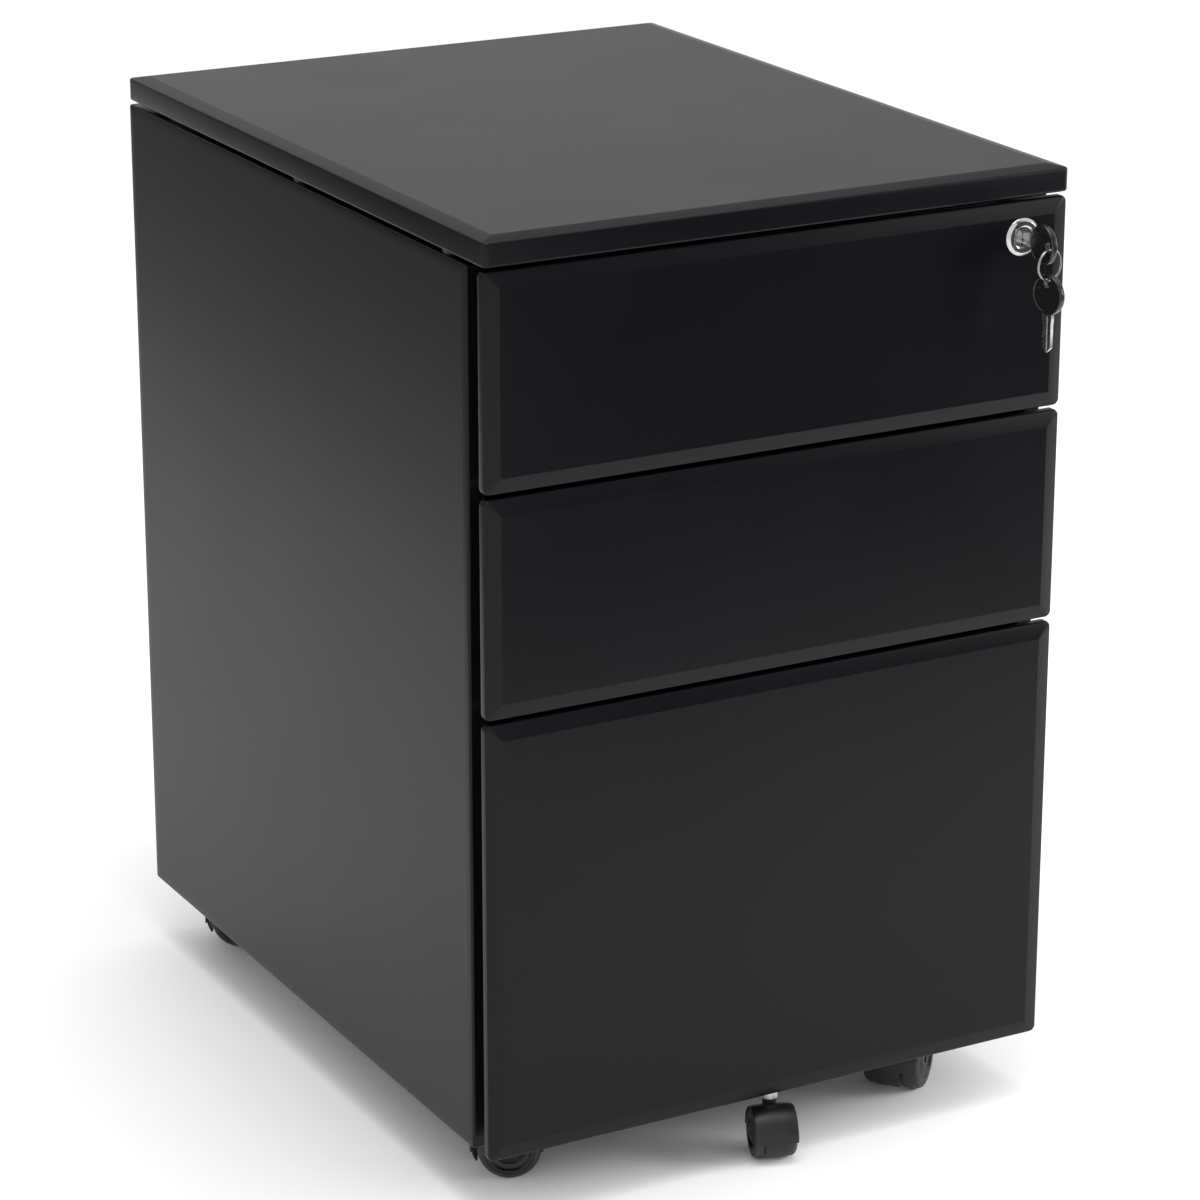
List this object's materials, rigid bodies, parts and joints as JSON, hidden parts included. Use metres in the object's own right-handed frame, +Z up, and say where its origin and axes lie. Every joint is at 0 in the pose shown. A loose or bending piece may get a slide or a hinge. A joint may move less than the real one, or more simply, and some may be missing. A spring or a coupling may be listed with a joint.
{
  "type": "rolling pedestal cabinet",
  "caption": "Black steel mobile pedestal with two box drawers over a file drawer, ball slides, a gang lock with keys, twin-wheel casters and an anti-tip caster.",
  "frame": {"origin": "on the floor, at the middle of the footprint with the keys in the lock included", "axes": "+X to the right seen from the front, +Y to the back, +Z up; the drawers open towards -Y"},
  "size_m": [0.39, 0.5452, 0.605],
  "materials": {
    "black_powder_coat": "satin powder coat with a fine texture",
    "zinc_steel": "bright zinc plating",
    "lock_chrome": "polished",
    "nickel": "nickel plated",
    "key_plastic": "moulded",
    "caster_plastic": "moulded nylon",
    "caster_tread": "moulded nylon",
    "guide_plastic": "moulded"
  },
  "bodies": {
    "cabinet": {"cap_top": "black_powder_coat", "cap_spacers": "guide_plastic", "cap_screws": "zinc_steel", "left_side_panel": "black_powder_coat", "right_side_panel": "black_powder_coat", "back_panel": "black_powder_coat", "back_panel_rivets": "zinc_steel", "base_pan": "black_powder_coat", "base_channels": "black_powder_coat", "front_top_rail": "black_powder_coat", "slide_uprights": "black_powder_coat", "lock_bar_guides": "guide_plastic", "drawer_1_cabinet_members": "zinc_steel", "drawer_2_cabinet_members": "zinc_steel", "drawer_3_cabinet_members": "zinc_steel", "caster_stems": "zinc_steel"},
    "lock_bar": {"lock_bar": "zinc_steel"},
    "drawer_1": {"drawer_1_front": "black_powder_coat", "drawer_1_tray": "black_powder_coat", "drawer_1_drawer_members": "zinc_steel", "drawer_1_screws": "zinc_steel", "lock_housing": "lock_chrome", "lock_nut": "zinc_steel"},
    "drawer_1_runners": {"drawer_1_middle_members": "zinc_steel"},
    "drawer_2": {"drawer_2_front": "black_powder_coat", "drawer_2_tray": "black_powder_coat", "drawer_2_drawer_members": "zinc_steel", "drawer_2_screws": "zinc_steel"},
    "drawer_2_runners": {"drawer_2_middle_members": "zinc_steel"},
    "drawer_3": {"drawer_3_front": "black_powder_coat", "drawer_3_tray": "black_powder_coat", "drawer_3_drawer_members": "zinc_steel", "drawer_3_screws": "zinc_steel", "file_rails": "black_powder_coat", "fifth_caster_bracket": "black_powder_coat", "fifth_caster_stem": "zinc_steel"},
    "drawer_3_runners": {"drawer_3_middle_members": "zinc_steel"},
    "lock_core": {"lock_plug": "lock_chrome", "lock_cam": "zinc_steel", "cam_screw": "zinc_steel"},
    "key": {"key_bow": "key_plastic", "key_blade": "nickel"},
    "key_ring": {"key_ring": "nickel"},
    "spare_key": {"spare_key_bow": "key_plastic", "spare_key_blade": "nickel"},
    "front_left_caster": {"front_left_hood": "caster_plastic"},
    "front_left_wheel_a": {"front_left_wheel_a": "caster_tread"},
    "front_left_wheel_b": {"front_left_wheel_b": "caster_tread"},
    "front_right_caster": {"front_right_hood": "caster_plastic"},
    "front_right_wheel_a": {"front_right_wheel_a": "caster_tread"},
    "front_right_wheel_b": {"front_right_wheel_b": "caster_tread"},
    "rear_left_caster": {"rear_left_hood": "caster_plastic"},
    "rear_left_wheel_a": {"rear_left_wheel_a": "caster_tread"},
    "rear_left_wheel_b": {"rear_left_wheel_b": "caster_tread"},
    "rear_right_caster": {"rear_right_hood": "caster_plastic"},
    "rear_right_wheel_a": {"rear_right_wheel_a": "caster_tread"},
    "rear_right_wheel_b": {"rear_right_wheel_b": "caster_tread"},
    "fifth_caster": {"fifth_hood": "caster_plastic"},
    "fifth_wheel_a": {"fifth_wheel_a": "caster_tread"},
    "fifth_wheel_b": {"fifth_wheel_b": "caster_tread"}
  },
  "joints": [
    {"name": "drawer_1_slide", "type": "slide", "parent": "cabinet", "child": "drawer_1", "axis": [0, -1, 0], "range_m": [0, 0.36]},
    {"name": "drawer_1_runner_slide", "type": "slide", "parent": "cabinet", "child": "drawer_1_runners", "axis": [0, -1, 0], "range_m": [0, 0.18]},
    {"name": "drawer_2_slide", "type": "slide", "parent": "cabinet", "child": "drawer_2", "axis": [0, -1, 0], "range_m": [0, 0.36]},
    {"name": "drawer_2_runner_slide", "type": "slide", "parent": "cabinet", "child": "drawer_2_runners", "axis": [0, -1, 0], "range_m": [0, 0.18]},
    {"name": "drawer_3_slide", "type": "slide", "parent": "cabinet", "child": "drawer_3", "axis": [0, -1, 0], "range_m": [0, 0.42]},
    {"name": "drawer_3_runner_slide", "type": "slide", "parent": "cabinet", "child": "drawer_3_runners", "axis": [0, -1, 0], "range_m": [0, 0.21]},
    {"name": "lock_turn", "type": "hinge", "parent": "drawer_1", "child": "lock_core", "pos_m": [0.162, -0.2305, 0.5649], "axis": [0, -1, 0], "range_deg": [0, 90]},
    {"name": "lock_bar_lift", "type": "slide", "parent": "cabinet", "child": "lock_bar", "axis": [0, 0, 1], "range_m": [0, 0.0161]},
    {"name": "key_pull", "type": "slide", "parent": "lock_core", "child": "key", "axis": [0, -1, 0], "range_m": [0, 0.02]},
    {"name": "ring_swing", "type": "hinge", "parent": "key", "child": "key_ring", "pos_m": [0.162, -0.2605, 0.5634], "axis": [1, 0, 0], "range_deg": [-35, 12]},
    {"name": "spare_key_swing", "type": "hinge", "parent": "key_ring", "child": "spare_key", "pos_m": [0.162, -0.2605, 0.545], "axis": [0.9848, 0.1736, 0], "range_deg": [-40, 12]},
    {"name": "front_left_swivel", "type": "hinge", "parent": "cabinet", "child": "front_left_caster", "pos_m": [-0.136, -0.1675, 0.0196], "axis": [0, 0, 1], "continuous": true},
    {"name": "front_left_wheel_a_roll", "type": "hinge", "parent": "front_left_caster", "child": "front_left_wheel_a", "pos_m": [-0.14649, -0.16168, 0.0196], "axis": [-0.4848, -0.8746, 0], "continuous": true},
    {"name": "front_left_wheel_b_roll", "type": "hinge", "parent": "front_left_caster", "child": "front_left_wheel_b", "pos_m": [-0.14649, -0.16168, 0.0196], "axis": [-0.4848, -0.8746, 0], "continuous": true},
    {"name": "front_right_swivel", "type": "hinge", "parent": "cabinet", "child": "front_right_caster", "pos_m": [0.136, -0.1675, 0.0196], "axis": [0, 0, 1], "continuous": true},
    {"name": "front_right_wheel_a_roll", "type": "hinge", "parent": "front_right_caster", "child": "front_right_wheel_a", "pos_m": [0.12681, -0.17521, 0.0196], "axis": [0.6428, -0.766, 0], "continuous": true},
    {"name": "front_right_wheel_b_roll", "type": "hinge", "parent": "front_right_caster", "child": "front_right_wheel_b", "pos_m": [0.12681, -0.17521, 0.0196], "axis": [0.6428, -0.766, 0], "continuous": true},
    {"name": "rear_left_swivel", "type": "hinge", "parent": "cabinet", "child": "rear_left_caster", "pos_m": [-0.136, 0.2325, 0.0196], "axis": [0, 0, 1], "continuous": true},
    {"name": "rear_left_wheel_a_roll", "type": "hinge", "parent": "rear_left_caster", "child": "rear_left_wheel_a", "pos_m": [-0.14649, 0.23832, 0.0196], "axis": [-0.4848, -0.8746, 0], "continuous": true},
    {"name": "rear_left_wheel_b_roll", "type": "hinge", "parent": "rear_left_caster", "child": "rear_left_wheel_b", "pos_m": [-0.14649, 0.23832, 0.0196], "axis": [-0.4848, -0.8746, 0], "continuous": true},
    {"name": "rear_right_swivel", "type": "hinge", "parent": "cabinet", "child": "rear_right_caster", "pos_m": [0.136, 0.2325, 0.0196], "axis": [0, 0, 1], "continuous": true},
    {"name": "rear_right_wheel_a_roll", "type": "hinge", "parent": "rear_right_caster", "child": "rear_right_wheel_a", "pos_m": [0.12929, 0.22255, 0.0196], "axis": [0.829, -0.5592, 0], "continuous": true},
    {"name": "rear_right_wheel_b_roll", "type": "hinge", "parent": "rear_right_caster", "child": "rear_right_wheel_b", "pos_m": [0.12929, 0.22255, 0.0196], "axis": [0.829, -0.5592, 0], "continuous": true},
    {"name": "fifth_swivel", "type": "hinge", "parent": "drawer_3", "child": "fifth_caster", "pos_m": [0.0057, -0.2165, 0.0156], "axis": [0, 0, 1], "continuous": true},
    {"name": "fifth_wheel_a_roll", "type": "hinge", "parent": "fifth_caster", "child": "fifth_wheel_a", "pos_m": [0.00317, -0.2243, 0.0156], "axis": [0.9511, -0.309, 0], "continuous": true},
    {"name": "fifth_wheel_b_roll", "type": "hinge", "parent": "fifth_caster", "child": "fifth_wheel_b", "pos_m": [0.00317, -0.2243, 0.0156], "axis": [0.9511, -0.309, 0], "continuous": true}
  ],
  "couplings": [
    {"joint": "drawer_1_runner_slide", "follows": "drawer_1_slide", "ratio": 0.5},
    {"joint": "drawer_2_runner_slide", "follows": "drawer_2_slide", "ratio": 0.5},
    {"joint": "drawer_3_runner_slide", "follows": "drawer_3_slide", "ratio": 0.5},
    {"joint": "lock_bar_lift", "follows": "lock_turn", "m_per_rad": 0.010186}
  ]
}
